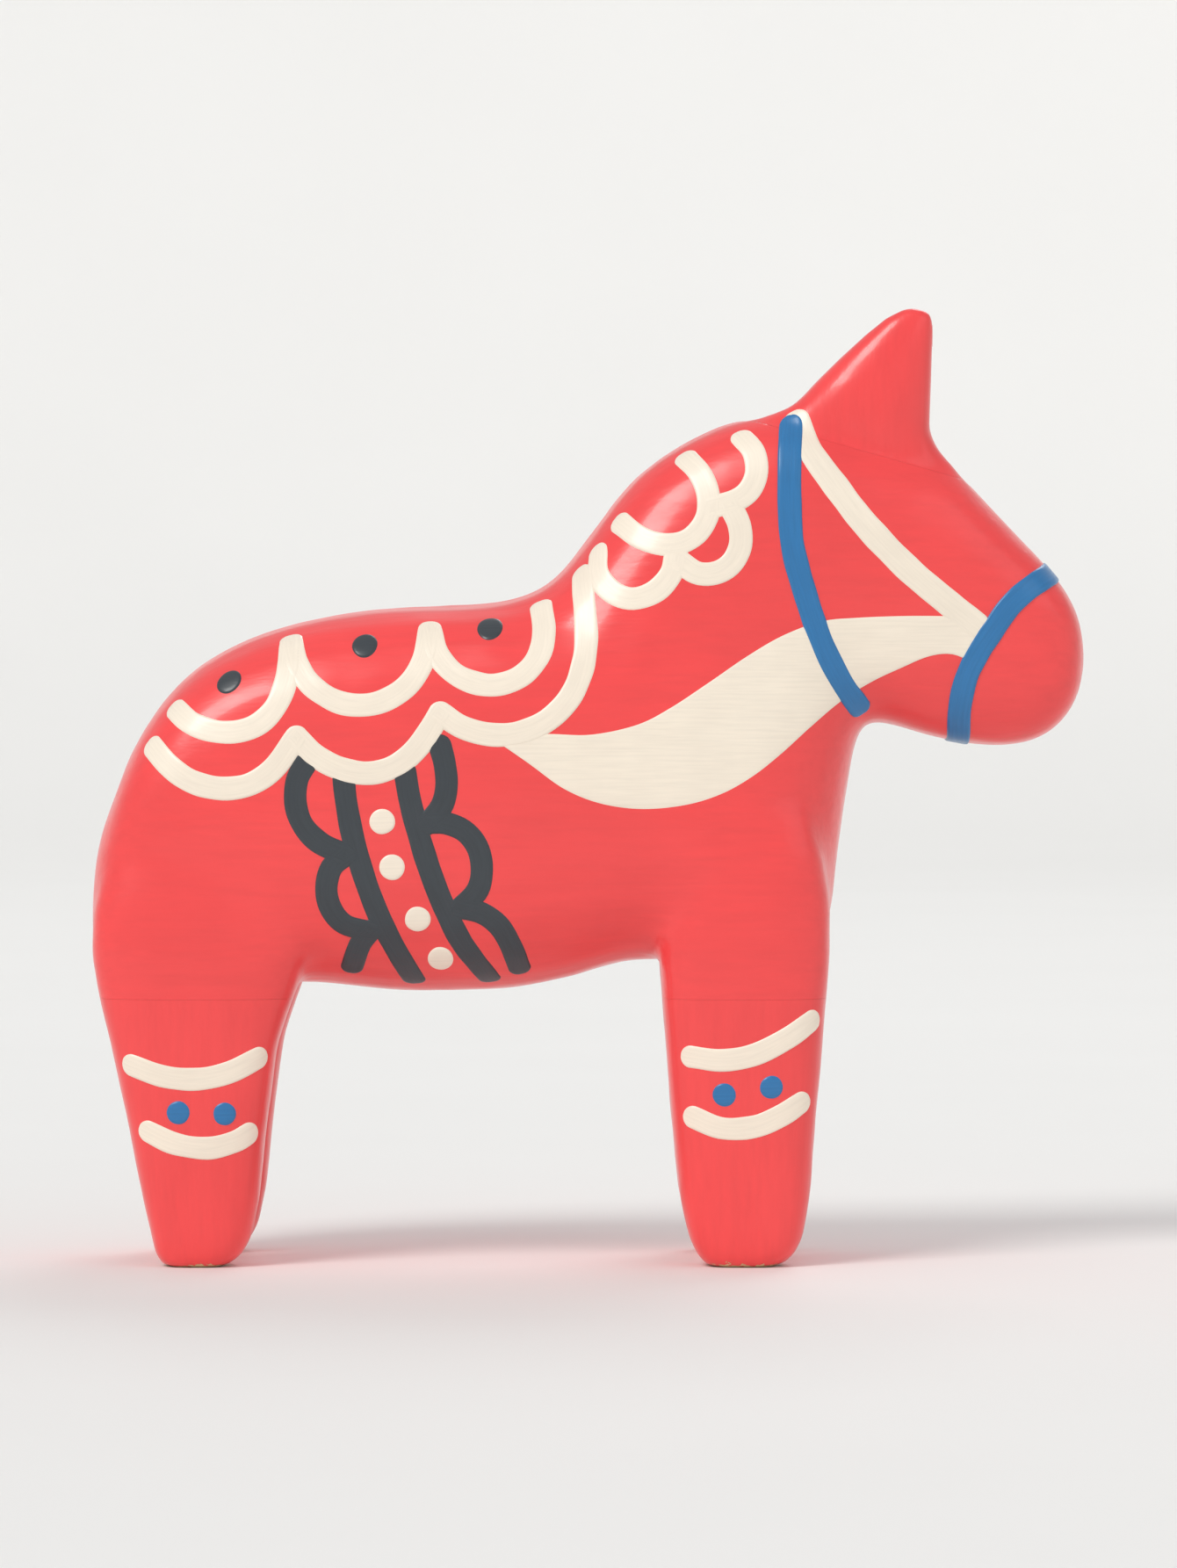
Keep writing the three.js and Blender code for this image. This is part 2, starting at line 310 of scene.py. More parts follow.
def drop_slivers(mesh):
    """Keeps only the largest connected part."""
    bm = bmesh.new()
    bm.from_mesh(mesh)
    left = set(bm.faces)
    parts = []
    while left:
        part = [left.pop()]
        for face in part:
            for edge in face.edges:
                for beside in edge.link_faces:
                    if beside in left:
                        left.remove(beside)
                        part.append(beside)
        parts.append(part)
    parts.sort(key=len)
    for part in parts[:-1]:
        bmesh.ops.delete(bm, geom=part, context="FACES")
    bm.to_mesh(mesh)
    bm.free()


def paint_thin_cuts(mesh, surface):
    """Enamel runs a little way into a glue line, so cut faces near the skin are painted too."""
    for face in mesh.polygons:
        if face.material_index and surface.distance(face.center) < PAINT_RUN_IN:
            face.material_index = 0


def dowel_place(node):
    """A CAD dowel's own frame, with z along it, and its radius and length."""
    points = coordinates(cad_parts[node].data)
    low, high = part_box(node)
    centre = (low + high) / 2
    spread = points - np.array(centre)
    axis = Vector(np.linalg.svd(spread, full_matrices=False)[2][0])
    along = spread @ np.array(axis)
    across = np.linalg.norm(spread - np.outer(along, np.array(axis)), axis=1)
    matrix = Matrix.Translation(centre) @ axis.to_track_quat("Z", "Y").to_matrix().to_4x4()
    return matrix, across.max(), 2 * along.max()


def turned(name, profile, sides, ripple=0.0, flutes=0):
    """A closed solid turned about z from (radius, z) points, with shallow flutes if asked."""
    points, faces = [], []
    for radius, z in profile:
        for i in range(sides):
            angle = 2 * math.pi * i / sides
            r = radius * (1 - ripple * (0.5 + 0.5 * math.cos(flutes * angle)))
            points.append((r * math.cos(angle), r * math.sin(angle), z))
    for ring in range(len(profile) - 1):
        for i in range(sides):
            here, after = ring * sides + i, ring * sides + (i + 1) % sides
            faces.append((here, after, after + sides, here + sides))
    faces.append(tuple(reversed(range(sides))))
    faces.append(tuple(range(len(points) - sides, len(points))))
    return mesh_from(name, points, faces)


def dowel_holes(bare):
    """Every dowel's hole, as cutters: a little wider and longer than the dowel."""
    holes = []
    for node in DOWEL_NODES:
        matrix, radius, length = dowel_place(node)
        reach = length / 2 + HOLE_SPARE
        wide = radius + CAD_GAP
        mesh = turned("hole", [(wide, -reach), (wide, reach)], HOLE_SIDES)
        mesh.transform(matrix)
        mesh.materials.append(bare)
        holes.append(new_object("hole", mesh))
    return holes


def touches(cutter, low, high):
    """Whether a cutter's box meets the box from low to high."""
    spots = coordinates(cutter.data)
    return bool((spots.max(0) > np.array(low)).all() and (spots.min(0) < np.array(high)).all())


def outward(node, inner):
    """The reach in y from a plane out past the horse, on the node's own side."""
    return (inner, FAR) if "left" in node else (-FAR, -inner)


def room_of(node, bare):
    """The space that a wooden piece keeps between its glue lines, as a cutter."""
    edge = SEAM / 2
    if node == "centre_board":
        half = BOARD_HALF - edge
        return box_cutter((-FAR, -half, -FAR), (FAR, half, FAR), bare)
    if node.endswith("side_board"):
        y = outward(node, BOARD_HALF + edge)
        return box_cutter((-FAR, y[0], LEG_JOINT_Z + edge), (FAR, y[1], FAR), bare)
    if node.endswith("leg"):
        x = (0, FAR) if node.startswith("front") else (-FAR, 0)
        y = outward(node, 0)
        return box_cutter((x[0], y[0], -FAR), (x[1], y[1], LEG_JOINT_Z - edge), bare)
    y = (edge, EAR_ROOM.y) if "left" in node else (-EAR_ROOM.y, -edge)
    return over_ear_seat(y, EAR_SEAM / 2, bare)


def over_ear_seat(y, lift, bare):
    """Everything that stands over the planed seat, from one y to another, as a cutter."""
    low = (-EAR_ROOM.x, y[0], lift - EAR_SEAT_DEPTH)
    high = (EAR_ROOM.x, y[1], EAR_ROOM.z)
    return box_cutter(low, high, bare, seat_matrix(), EAR_ROOM_CELLS)


def wood_pieces(skin, painted, bare):
    """The skin parted along its glue lines into one piece for each wooden CAD node."""
    surface = Surface(skin)
    over_seat = over_ear_seat((-EAR_ROOM.y, EAR_ROOM.y), -EAR_SEAM / 2, bare)
    holes = dowel_holes(bare)
    for node in WOOD_NODES:
        low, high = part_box(node)
        room = room_of(node, bare)
        steps = [("INTERSECT", room)]
        if node.endswith("board"):
            steps.append(("DIFFERENCE", over_seat))
        steps += [("DIFFERENCE", hole) for hole in holes if touches(hole, low, high)]
        uncut = skin.copy()
        uncut.materials.append(painted[node])
        mesh = boolean(uncut, steps)
        bpy.data.objects.remove(room)
        drop_slivers(mesh)
        paint_thin_cuts(mesh, surface)
        mesh.shade_smooth()
        mesh.set_sharp_from_angle(angle=math.radians(38))
        piece = new_object(node + "_wood", mesh)
        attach(piece, "root")
        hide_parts(node)
    for cutter in [over_seat, *holes]:
        bpy.data.objects.remove(cutter)


def dowel_pieces(pine):
    """Fluted pins with chamfered ends, in place of the plain CAD dowels."""
    for node in DOWEL_NODES:
        matrix, radius, length = dowel_place(node)
        chamfer = 0.18 * radius
        top = length / 2
        profile = [
            (radius - chamfer, -top),
            (radius, -top + chamfer),
            (radius, top - chamfer),
            (radius - chamfer, top),
        ]
        mesh = turned(node + "_pin", profile, PIN_SIDES, ripple=0.05, flutes=PIN_FLUTES)
        mesh.transform(matrix)
        mesh.materials.append(pine)
        mesh.shade_smooth()
        mesh.set_sharp_from_angle(angle=math.radians(30))
        piece = new_object(node + "_pin", mesh)
        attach(piece, "root")
        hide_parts(node)


# ---- Brush strokes ----


class Surface:
    """The horse's skin, for laying paint on it."""

    def __init__(self, mesh):
        points = [Vector(p) for p in coordinates(mesh)]
        self.tree = BVHTree.FromPolygons(points, [tuple(p.vertices) for p in mesh.polygons])

    def beside(self, x, z, side):
        """Where a line square to the horse's side meets it, with the normal there."""
        start = Vector((x, side, z))
        spot, normal, _, _ = self.tree.ray_cast(start, Vector((0, -side, 0)))
        if spot is None:
            raise ValueError(f"the point x {x / MM:.1f}, z {z / MM:.1f} mm is off the horse")
        return spot, normal

    def nearest(self, point):
        spot, normal, _, _ = self.tree.find_nearest(point)
        return spot, normal

    def distance(self, point):
        return self.tree.find_nearest(point)[3]


def curve(points, step=0.5):
    """A smooth line through (x, z) points in millimetres, as many closely spaced points."""
    knots = [np.array(point, float) for point in points]
    knots = [2 * knots[0] - knots[1], *knots, 2 * knots[-1] - knots[-2]]
    line = []
    for p0, p1, p2, p3 in zip(knots, knots[1:], knots[2:], knots[3:]):
        count = max(2, int(np.linalg.norm(p2 - p1) / step))
        for i in range(count):
            t = i / count
            slope = (p2 - p0) * t
            bend = (2 * p0 - 5 * p1 + 4 * p2 - p3) * t * t
            swing = (3 * p1 - p0 - 3 * p2 + p3) * t**3
            line.append(0.5 * (2 * p1 + slope + bend + swing))
    line.append(knots[-2])
    return np.array(line)


def evenly(points, step):
    """The same 3-D line with points a step apart."""
    gaps = np.linalg.norm(np.diff(points, axis=0), axis=1)
    travelled = np.concatenate([[0], np.cumsum(gaps)])
    count = max(4, round(travelled[-1] / step))
    wanted = np.linspace(0, travelled[-1], count + 1)
    line = np.column_stack(point_at(wanted, travelled, points))
    return line, travelled[-1]


def point_at(distance, travelled, points):
    """The x, y and z at a distance, or at each of many distances, along a 3-D line."""
    return [np.interp(distance, travelled, points[:, axis]) for axis in range(3)]


# Where a cross-section has its points, as shares of half the stroke's width.
ACROSS_TOP = (-1, -0.93, -0.82, -0.62, -0.32, 0, 0.32, 0.62, 0.82, 0.93, 1)
ACROSS_BACK = (0.96, 0, -0.96)


def paint_profile(share):
    """How paint stands over a stroke: thin in the middle, a soft ridge by each edge, then down."""
    a = abs(share)
    return math.sqrt(max(0.0, 1 - a**8)) * (0.8 + 0.2 * a * a)


def end_round(distance, radius):
    """How much of its full width a round-ended stroke has at this distance from its end."""
    if distance >= radius:
        return 1.0
    return math.sqrt(max(0.0, 1 - (1 - distance / radius) ** 2))


LEAF_STEPS = 110  # along a broad stroke
LEAF_COLUMNS = 20  # across its middle
LEAF_RUN_UP = 0.012  # the share of its length over which its paint rises from each end


class Paint:
    """Strokes of one colour that make one piece: closed, raised ribbons and dots."""

    def __init__(self, surface):
        self.surface = surface
        self.points, self.faces, self.uvs = [], [], []

    def _ring(self, ring):
        """Keeps a ring's points and their brush coordinates, and gives the points' numbers."""
        first = len(self.points)
        self.points.extend(p for p, _ in ring)
        self.uvs.extend(uv for _, uv in ring)
        return list(range(first, first + len(ring)))

    def _skin(self, rings, closed):
        """Faces from each ring to the next, with a face over each end unless the rings close up."""
        count = len(rings[0])
        pairs = list(zip(rings, rings[1:]))
        if closed:
            pairs.append((rings[-1], rings[0]))
        for here, after in pairs:
            for i in range(count):
                j = (i + 1) % count
                self.faces.append((here[i], after[i], after[j], here[j]))
        if not closed:
            self.faces.append(tuple(rings[0]))
            self.faces.append(tuple(reversed(rings[-1])))

    def _section(self, spot, normal, sideways, half, height, u):
        """One closed cross-section: the paint's top over its back inside the wood."""
        ring = []
        for share in ACROSS_TOP:
            foot, out = self.surface.nearest(spot + sideways * (share * half))
            ring.append((foot + out * (height * paint_profile(share)), (u, share * half)))
        for share in ACROSS_BACK:
            foot, out = self.surface.nearest(spot + sideways * (share * half))
            ring.append((foot - out * PAINT_DEPTH, (u, share * half)))
        return self._ring(ring)

    def along(self, spots, width, height, closed=False, seed=0.0):
        """A ribbon of paint along 3-D points on the surface; its width wavers by the seed."""
        spots = np.array([tuple(s) for s in spots])
        radius = width / 2
        if not closed:
            spots = self._reaching_past_ends(spots, radius)
        spots, length = evenly(spots, STROKE_STEP)
        count = len(spots) - (1 if closed else 0)
        travelled = np.linspace(0, length, len(spots))
        stations = list(zip(travelled[:count], spots[:count]))
        if not closed:
            stations = self._with_round_ends(stations, travelled, spots, radius)
        rings = []
        for u, point in stations:
            spot, normal = self.surface.nearest(Vector(point))
            tangent = self._tangent(travelled, spots, u, closed)
            sideways = normal.cross(tangent).normalized()
            wobble = noise.noise(Vector((u / (9 * MM), seed, 0)))
            half = radius * (1 + 0.05 * wobble)
            tall = height
            if not closed:
                cap = end_round(min(u, length - u), radius)
                half *= max(cap, 0.05)
                tall *= max(math.sqrt(cap), 0.1)
            rings.append(self._section(spot, normal, sideways, half, tall, u))
        self._skin(rings, closed)

    @staticmethod
    def _reaching_past_ends(spots, reach):
        """Carries a line on past its two ends, so that a round end is centred on each."""
        first, last = spots[0] - spots[4], spots[-1] - spots[-5]
        first *= reach / np.linalg.norm(first)
        last *= reach / np.linalg.norm(last)
        return np.vstack([spots[0] + first, spots, spots[-1] + last])

    @staticmethod
    def _with_round_ends(stations, travelled, spots, radius):
        """Adds closely spaced stations where the round ends curve in."""
        length = travelled[-1]
        start = [radius * (1 - math.cos(math.radians(angle))) for angle in range(0, 90, 12)]
        end = [length - distance for distance in start]
        between = [u for u, _ in stations if radius < u < length - radius]
        return [(u, point_at(u, travelled, spots)) for u in sorted({*start, *end, *between})]

    @staticmethod
    def _tangent(travelled, spots, u, closed):
        """Which way the line runs at a distance along it."""
        reach = 1.2 * STROKE_STEP
        length = travelled[-1]
        before, after = u - reach, u + reach
        if closed:
            before, after = before % length, after % length
        else:
            before, after = max(before, 0), min(after, length)
        ahead = Vector(point_at(after, travelled, spots))
        behind = Vector(point_at(before, travelled, spots))
        return (ahead - behind).normalized()

    def stroke(self, line, side, width, height):
        """A stroke along a line of (x, z) millimetres, laid on one side of the horse."""
        spots = [self.surface.beside(x * MM, z * MM, side)[0] for x, z in line]
        if side == LEFT:
            spots.reverse()
        self.along(spots, width * MM, height * MM, seed=float(line[0][0]))

    def dot(self, x, z, side, radius, height):
        """A dab of paint, drawn out up a slope, so that it looks nearly round from the side."""
        centre, normal = self.surface.beside(x * MM, z * MM, side)
        along = normal.cross(Vector((0, 0, 1))).normalized()
        up = along.cross(normal)
        stretch = up.z**-DOT_STRETCH
        sectors = 36
        angles = [2 * math.pi * i / sectors for i in range(sectors)]
        edges = [Vector((math.cos(angle), math.sin(angle), x + z)) for angle in angles]
        uneven = [1 + 0.04 * noise.noise(edge) for edge in edges]

        def ring(share, lift):
            points = []
            for angle, wide in zip(angles, uneven):
                reach = radius * MM * share * wide
                a, b = reach * math.cos(angle), reach * stretch * math.sin(angle)
                foot, out = self.surface.nearest(centre + along * a + up * b)
                points.append((foot + out * lift, (a, b)))
            return self._ring(points)

        rings = [ring(0.96, -PAINT_DEPTH)]
        for share in (1.0, 0.93, 0.82, 0.6, 0.3, 0.06):
            crown = math.sqrt(1 - share**6) * (1.05 - 0.15 * share)
            rings.append(ring(share, height * MM * crown))
        self._skin(rings, closed=False)

    def leaf(self, upper, lower, side, height):
        """A broad stroke filled between two edges, each a line of (x, z) millimetres."""

        def spread(line):
            line = np.column_stack([line, np.zeros(len(line))])
            length = np.linalg.norm(np.diff(line, axis=0), axis=1).sum()
            return evenly(line, length / LEAF_STEPS)[0][:, :2]

        top, bottom = spread(upper), spread(lower)
        count = min(len(top), len(bottom))
        middle_shares = np.linspace(0.12, 0.88, LEAF_COLUMNS)
        shares = [0, 0.012, 0.035, 0.07, *middle_shares, 0.93, 0.965, 0.988, 1]
        rings = []
        for i in range(count):
            from_end = min(i, count - 1 - i) / (count - 1)
            end_lift = min(1.0, math.sqrt(from_end / LEAF_RUN_UP))
            ring = []
            for share in shares:
                x, z = top[i] * (1 - share) + bottom[i] * share
                foot, out = self.surface.beside(x * MM, z * MM, side)
                lift = height * MM * paint_profile(2 * share - 1) * max(end_lift, 0.08)
                ring.append((foot + out * lift, (x * MM, z * MM)))
            for share in (0.985, 0.5, 0.015):
                x, z = top[i] * (1 - share) + bottom[i] * share
                foot, out = self.surface.beside(x * MM, z * MM, side)
                ring.append((foot - out * PAINT_DEPTH, (x * MM, z * MM)))
            if side == LEFT:
                ring.reverse()
            rings.append(self._ring(ring))
        self._skin(rings, closed=False)

    def piece(self, name, slot, material):
        """Makes one object of the strokes, with a UV map that runs along and across them."""
        mesh = mesh_from(name, self.points, self.faces)
        layer = mesh.uv_layers.new(name="brush")
        corners = np.empty(len(mesh.loops), int)
        mesh.loops.foreach_get("vertex_index", corners)
        layer.data.foreach_set("uv", np.array(self.uvs)[corners].ravel())
        bm = bmesh.new()
        bm.from_mesh(mesh)
        bmesh.ops.recalc_face_normals(bm, faces=bm.faces)
        bm.to_mesh(mesh)
        bm.free()
        mesh.materials.append(material)
        mesh.shade_smooth()
        mesh.set_sharp_from_angle(angle=math.radians(60))
        made = new_object(name, mesh)
        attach(made, "root")


# ---- The painted decoration, as (x, z) in millimetres ----

# Brushes: a stroke's width and how thick its paint stands.
LINE = (9.8, 0.5)
LOWER_LINE = (9.8, 0.55)
HEADSTALL_LINE = (11.2, 0.5)
THROAT_LINE = (10, 0.85)  # the blue straps lie over the cream
NOSE_LINE = (9.8, 0.85)
GIRTH_LINE = (9.4, 0.4)
LACE_LINE = (9.4, 0.46)
LEG_LINE = (9.4, 0.5)
REIN_HEIGHT = 0.42

# Dots: the radius and how thick the paint stands.
BODY_DOT = (5.3, 0.6)
LEG_DOT = (4.8, 0.6)
DOT_STRETCH = 0.7  # how much of a slope a dot makes up for; 1 makes it round from the side

SADDLE_UPPER = [
    curve([
        (-172, 232.5), (-165, 226.8), (-155, 223.4), (-145, 223.4),
        (-136, 227), (-129, 235), (-125, 247), (-124, 261),
    ]),
    curve([
        (-124, 261), (-121, 251), (-115, 242.5), (-105, 236), (-95, 234.2),
        (-85, 236), (-75, 242.5), (-68.5, 253), (-66, 266),
    ]),
    curve([
        (-66, 266), (-62.5, 255), (-55, 247), (-45, 243), (-36, 243),
        (-27, 247), (-20.5, 255), (-18.5, 265), (-19.8, 275),
    ]),
]
SADDLE_LOWER = [
    curve([
        (-181.5, 217), (-174, 209), (-166, 203.3), (-157, 200.3),
        (-148, 199.8), (-139, 202), (-130, 208.5), (-121, 221),
    ]),
    curve([
        (-121, 221), (-114, 214), (-105, 208.8), (-95, 206.2),
        (-86, 206.8), (-77, 211), (-69, 219), (-61.5, 231),
    ]),
    curve([
        (-61.5, 231), (-52, 225), (-40, 222), (-28, 223), (-17, 228),
        (-8, 237), (-3, 248), (-1, 260), (-1.5, 273), (-3, 288.5),
    ]),
]
SADDLE_DOTS = [(-149.5, 244), (-93, 259), (-41, 266)]
MANE = [
    curve([
        (3.8, 297.5), (4.2, 288), (10, 281), (18.5, 278.3),
        (28, 281.5), (34.5, 289), (36.5, 297.5),
    ]),
    curve([
        (13, 310), (21, 304), (30, 301), (38.5, 301.5), (45.5, 306),
        (49.8, 314), (49.5, 323), (46, 331), (40.5, 337),
    ]),
    curve([(64, 345.5), (68.8, 339.5), (70, 331), (67, 323.5), (61, 319), (52, 316.5)]),
    curve([
        (59, 317), (62.7, 309), (63.2, 300.5), (59.5, 293),
        (53, 289), (45, 289), (37.5, 294),
    ]),
]
HEADSTALL = curve([
    (87, 352.5), (92.6, 340), (103.5, 324.5), (115.5, 309),
    (132.8, 291), (150, 276.5), (162, 267),
])
REIN_UPPER = curve([
    (167, 263), (158, 270.5), (147, 271), (130, 271), (112, 270.3),
    (97, 268.8), (81, 263), (66, 254.4), (50, 243.5), (34, 233),
    (20, 226), (1, 222), (-17, 222.3), (-36, 221.5),
])
REIN_LOWER = curve([
    (161, 251), (152, 255), (142, 254.2), (130, 249.2), (118, 243.5), (105, 235.3),
    (92, 224.5), (80, 213.8), (68, 204.5), (55, 197.3), (40, 192.8), (22, 191.2),
    (5, 193.5), (-10, 199.5), (-24, 209.5), (-37, 218.5),
])
THROAT_STRAP = curve([
    (84.7, 350.8), (83.8, 336), (83.7, 318), (85, 300),
    (90.3, 280), (97.2, 260), (105.5, 243.5), (113, 233),
])
NOSE_BAND = curve([
    (195, 289.5), (184, 282.5), (176, 275.3), (169.3, 266),
    (162.8, 256), (157.6, 245), (155, 232), (155, 218),
])
GIRTH = [
    curve([
        (-101.5, 205.5), (-100.5, 195), (-97.5, 179), (-92.3, 161),
        (-86, 144.5), (-79, 130.5), (-72.8, 119.5),
    ]),
    curve([
        (-76, 206.5), (-74, 195), (-70.2, 180), (-65.5, 165),
        (-59.7, 150), (-52.3, 135), (-41.3, 120),
    ]),
]
GIRTH_LACE = [
    curve([
        (-117, 210.5), (-120.8, 203), (-121.3, 193), (-118, 184), (-111, 177), (-101, 172.5),
    ]),
    curve([
        (-100, 172.8), (-106.5, 167), (-108.7, 158), (-106.7, 149.5), (-101, 143), (-91, 140.3),
    ]),
    curve([(-90, 141), (-94.8, 135), (-98.5, 125)]),
    curve([(-61.5, 217.5), (-59.6, 210), (-58.8, 201), (-60.8, 192.5), (-67, 185)]),
    curve([
        (-67, 185.6), (-59, 185.3), (-51.3, 182), (-46, 175.3),
        (-44.2, 166.5), (-46, 157.5), (-53, 150),
    ]),
    curve([(-53, 150), (-44.5, 148), (-37.2, 142.6), (-32.2, 134), (-28.7, 124.5)]),
]
GIRTH_DOTS = [(-85.5, 186), (-81.5, 167), (-70.8, 145.3), (-61.5, 128.3)]
LEG_BANDS = {
    "rear": [
        curve([(-190, 84.6), (-176, 80), (-162, 79), (-149, 81.8), (-137, 87.6)]),
        curve([(-183, 57), (-171.5, 52), (-158, 50.2), (-147, 52.8), (-141, 56.1)]),
    ],
    "front": [
        curve([(42.4, 88.2), (55.5, 86.8), (69, 89.2), (82.7, 96), (92.8, 103)]),
        curve([(43.3, 63), (55.5, 58.5), (69, 59.2), (80, 63.7), (88.5, 69)]),
    ],
}
LEG_DOTS = {
    "rear": [(-170.3, 65), (-151, 64.5)],
    "front": [(56.3, 72.4), (75.9, 75.6)],
}


def wrap_round(surface, line):
    """The ring in which a sheet through the line, square to the horse's side, cuts the head."""
    rays = 180
    longest = 0.2  # past the head's skin from anywhere inside it
    settling = 4  # each pass lays the ray's end closer to the line
    top, bottom = line[0] * MM, line[-1] * MM
    chord = bottom - top
    length = np.linalg.norm(chord)
    along = chord / length
    middle = (top + bottom) / 2
    shares = (line * MM - top) @ along / length
    ring = []
    for i in range(rays):
        angle = 2 * math.pi * i / rays
        lean = math.cos(angle)
        direction = Vector((lean * along[0], math.sin(angle), lean * along[1]))
        share = 0.5
        for _ in range(settling):
            on_line = np.array([np.interp(share, shares, line[:, k] * MM) for k in range(2)])
            shift = on_line - (top + chord * share)
            start = Vector((middle[0] + shift[0], 0, middle[1] + shift[1]))
            spot, _, _, _ = surface.tree.ray_cast(start, direction, longest)
            from_top = np.array([spot.x, spot.z]) - shift - top
            share = float(np.clip(from_top @ along / length, 0, 1))
        ring.append(spot)
    return ring + ring[:1]


def stroked(surface, name, lines, side, brush, colour):
    """One piece made of strokes; colour is a slot's name and its material."""
    paint = Paint(surface)
    for line in lines:
        paint.stroke(line, side, *brush)
    paint.piece(name, *colour)


def dotted(surface, name, places, side, dot, colour):
    """One piece made of dots; colour is a slot's name and its material."""
    paint = Paint(surface)
    for x, z in places:
        paint.dot(x, z, side, *dot)
    paint.piece(name, *colour)


def decoration(surface, cream, slate, blue):
    """All the painting: the same pieces on each side, and one band round the nose."""
    for word, side in SIDES.items():
        stroked(surface, f"{word}_saddle_upper_scallops", SADDLE_UPPER, side, LINE, cream)
        stroked(surface, f"{word}_saddle_lower_scallops", SADDLE_LOWER, side, LOWER_LINE, cream)
        dotted(surface, f"{word}_saddle_dots", SADDLE_DOTS, side, BODY_DOT, slate)
        stroked(surface, f"{word}_mane_scallops", MANE, side, LINE, cream)
        rein = Paint(surface)
        rein.leaf(REIN_UPPER, REIN_LOWER, side, REIN_HEIGHT)
        rein.piece(f"{word}_rein", *cream)
        stroked(surface, f"{word}_headstall", [HEADSTALL], side, HEADSTALL_LINE, cream)
        stroked(surface, f"{word}_throat_strap", [THROAT_STRAP], side, THROAT_LINE, blue)
        stroked(surface, f"{word}_girth_straps", GIRTH, side, GIRTH_LINE, slate)
        stroked(surface, f"{word}_girth_lacing", GIRTH_LACE, side, LACE_LINE, slate)
        dotted(surface, f"{word}_girth_dots", GIRTH_DOTS, side, BODY_DOT, cream)
        for end in ("front", "rear"):
            leg = f"{end}_{word}_leg"
            stroked(surface, f"{leg}_bands", LEG_BANDS[end], side, LEG_LINE, cream)
            dotted(surface, f"{leg}_dots", LEG_DOTS[end], side, LEG_DOT, blue)

    width, height = NOSE_LINE
    nose = Paint(surface)
    nose.along(wrap_round(surface, NOSE_BAND), width * MM, height * MM, closed=True)
    nose.piece("nose_band", *blue)


# ---- Materials ----


# A Mix node has a socket for each kind of data; these are the ones for colours.
MIX_COLOURS = slice(6, 8)
MIX_RESULT = 2


class Nodes:
    """Short ways to make a material's nodes and link them."""

    def __init__(self, name):
        self.material = bpy.data.materials.new(name)
        self.material.use_nodes = True
        self.tree = self.material.node_tree
        self.shader = self.tree.nodes["Principled BSDF"]

    def add(self, kind, **values):
        node = self.tree.nodes.new(kind)
        for key, value in values.items():
            setattr(node, key, value)
        return node

    def link(self, source, target):
        self.tree.links.new(source, target)

    def coords(self, scale, uv=None):
        """Object coordinates, or a UV map's, stretched by scale."""
        if uv is None:
            source = self.add("ShaderNodeTexCoord").outputs["Object"]
        else:
            source = self.add("ShaderNodeUVMap", uv_map=uv).outputs["UV"]
        mapping = self.add("ShaderNodeMapping")
        mapping.inputs["Scale"].default_value = scale
        self.link(source, mapping.inputs["Vector"])
        return mapping.outputs["Vector"]

    def noise(self, vector, scale=1.0, detail=3.0, rough=0.5):
        node = self.add("ShaderNodeTexNoise")
        node.inputs["Scale"].default_value = scale
        node.inputs["Detail"].default_value = detail
        node.inputs["Roughness"].default_value = rough
        self.link(vector, node.inputs["Vector"])
        return node.outputs["Fac"]

    def ramp(self, factor, *stops):
        """A colour for each factor, from (position, colour) stops."""
        node = self.add("ShaderNodeValToRGB")
        elements = node.color_ramp.elements
        while len(elements) < len(stops):
            elements.new(0.5)
        for element, (position, colour) in zip(elements, stops):
            element.position = position
            element.color = (*colour, 1)
        self.link(factor, node.inputs["Fac"])
        return node.outputs["Color"]

    def spread(self, factor, low, high, from_low=0.0, from_high=1.0):
        """The factor's reach from from_low to from_high, stretched to go from low to high."""
        node = self.add("ShaderNodeMapRange")
        node.inputs["From Min"].default_value = from_low
        node.inputs["From Max"].default_value = from_high
        node.inputs["To Min"].default_value = low
        node.inputs["To Max"].default_value = high
        self.link(factor, node.inputs["Value"])
        return node.outputs["Result"]

    def mix(self, factor, a, b):
        """Colour a where the factor is 0, and b where it is 1."""
        node = self.add("ShaderNodeMix", data_type="RGBA")
        self.link(factor, node.inputs["Factor"])
        for value, socket in zip((a, b), node.inputs[MIX_COLOURS]):
            if isinstance(value, tuple):
                socket.default_value = (*value, 1)
            else:
                self.link(value, socket)
        return node.outputs[MIX_RESULT]

    def maths(self, operation, *values):
        node = self.add("ShaderNodeMath", operation=operation)
        for value, socket in zip(values, node.inputs):
            if isinstance(value, (int, float)):
                socket.default_value = value
            else:
                self.link(value, socket)
        return node.outputs[0]

    def bump(self, height, distance, strength, under=None):
        node = self.add("ShaderNodeBump")
        node.inputs["Strength"].default_value = strength
        node.inputs["Distance"].default_value = distance
        self.link(height, node.inputs["Height"])
        if under is not None:
            self.link(under, node.inputs["Normal"])
        return node.outputs["Normal"]

    def set(self, **values):
        """Sets the shader's own sockets, named with _ for each space."""
        for key, value in values.items():
            socket = self.shader.inputs[key.replace("_", " ")]
            if isinstance(value, (int, float, tuple)):
                socket.default_value = value
            else:
                self.link(value, socket)


def shade(colour, factor):
    """The colour made darker or lighter."""
    return tuple(min(1.0, c * factor) for c in colour)


CORAL = (0.95, 0.066, 0.068)
CREAM = (0.96, 0.86, 0.72)
SLATE = (0.040, 0.050, 0.060)
BLUE = (0.022, 0.19, 0.46)
PINE = (0.74, 0.50, 0.26)
PINE_DARK = (0.52, 0.29, 0.11)

